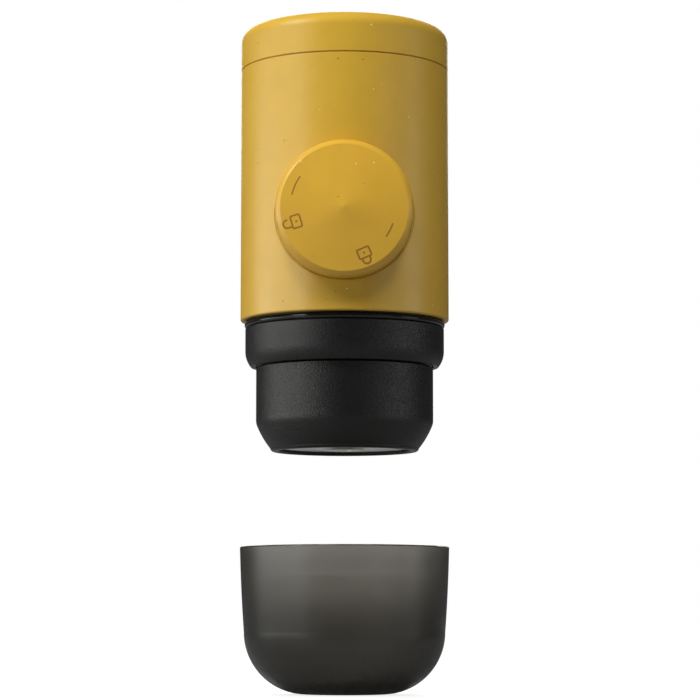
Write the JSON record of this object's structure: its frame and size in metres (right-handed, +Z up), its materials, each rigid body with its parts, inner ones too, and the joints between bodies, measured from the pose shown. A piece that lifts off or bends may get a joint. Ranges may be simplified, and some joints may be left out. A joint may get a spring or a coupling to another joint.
{
  "type": "handheld manual espresso maker",
  "caption": "Handheld manual espresso maker with a spring-return pump worked by a round knob, a screw-on tank, a screw-on brew head with filter basket, and its own smoked cup.",
  "frame": {"origin": "centre of the cup's foot, on the table the cup stands on", "axes": "+Z up along the common axis of cup and maker; the pump knob faces -Y; +X to the viewer's right"},
  "size_m": [0.06, 0.068, 0.1914],
  "materials": {
    "mustard_coat": "speckled soft-touch coating on moulded plastic",
    "black_grained": "fine-grained satin moulding",
    "black_frame": "plain satin moulding",
    "smoke_clear": "smoked translucent copolyester",
    "stainless": "brushed or pressed stainless steel",
    "natural_acetal": "natural acetal, machined or moulded smooth",
    "black_silicone": "moulded silicone, slightly glossy",
    "grey_silicone": "translucent grey food-grade silicone",
    "zinc_screw": "stainless screw"
  },
  "bodies": {
    "body": {"grip_sleeve": "mustard_coat", "group_head": "black_grained", "cup_grip_ring": "black_silicone", "group_gasket": "grey_silicone", "shower_screen": "stainless", "screen_screw": "zinc_screw", "pump_housing": "black_frame", "housing_screws": "zinc_screw", "tank_deck": "black_frame", "deck_screws": "zinc_screw", "vent_valve": "grey_silicone", "intake_strainer": "black_frame", "inlet_pipe": "natural_acetal", "outlet_pipe": "natural_acetal", "valve_block": "black_frame", "inlet_valve": "grey_silicone", "outlet_valve": "grey_silicone", "valve_cover": "black_frame", "cover_screws": "zinc_screw", "block_screws": "zinc_screw", "pump_cylinder": "natural_acetal", "cylinder_seal": "black_silicone", "rod_bush": "natural_acetal", "return_spring": "stainless"},
    "plunger": {"piston_carrier": "black_frame", "piston_rod": "natural_acetal", "rod_pin": "stainless", "piston_seal": "black_silicone"},
    "knob": {"knob_cap": "mustard_coat"},
    "tank_seal": {"tank_gasket": "grey_silicone"},
    "tank": {"tank_vessel": "smoke_clear", "tank_cap": "mustard_coat"},
    "head_seal": {"head_oring": "black_silicone"},
    "head": {"head_shell": "black_grained", "outlet_plate": "stainless", "spout_nozzle": "stainless"},
    "basket": {"filter_basket": "stainless"},
    "cup": {"cup": "smoke_clear"}
  },
  "joints": [
    {"name": "piston_stroke", "type": "slide", "parent": "body", "child": "plunger", "axis": [0, -1, 0], "range_m": [0, 0.022], "deforming": ["return_spring"]},
    {"name": "knob_turn", "type": "hinge", "parent": "plunger", "child": "knob", "pos_m": [0, 0, 0.1344], "axis": [0, 1, 0], "range_deg": [0, 90]},
    {"name": "tank_rise", "type": "slide", "parent": "body", "child": "tank_seal", "axis": [0, 0, 1], "range_m": [0, 0.024]},
    {"name": "tank_turn", "type": "hinge", "parent": "tank_seal", "child": "tank", "pos_m": [0, 0, 0.159], "axis": [0, 0, 1], "range_deg": [0, 1080]},
    {"name": "head_drop", "type": "slide", "parent": "body", "child": "head_seal", "axis": [0, 0, -1], "range_m": [0, 0.027]},
    {"name": "head_turn", "type": "hinge", "parent": "head_seal", "child": "head", "pos_m": [0, 0, 0.093], "axis": [0, 0, -1], "range_deg": [0, 1080]},
    {"name": "basket_lift", "type": "slide", "parent": "head", "child": "basket", "axis": [0, 0, 1], "range_m": [0, 0.015]},
    {"name": "cup_lift", "type": "slide", "parent": "body", "child": "cup", "axis": [0, 0, -1], "range_m": [-0.0644, 0]}
  ],
  "couplings": [
    {"joint": "tank_rise", "follows": "tank_turn", "m_per_rad": 0.0012732},
    {"joint": "head_drop", "follows": "head_turn", "m_per_rad": 0.0014324},
    {"joint": "basket_lift", "follows": "head_turn", "m_per_rad": 0.00079577}
  ]
}
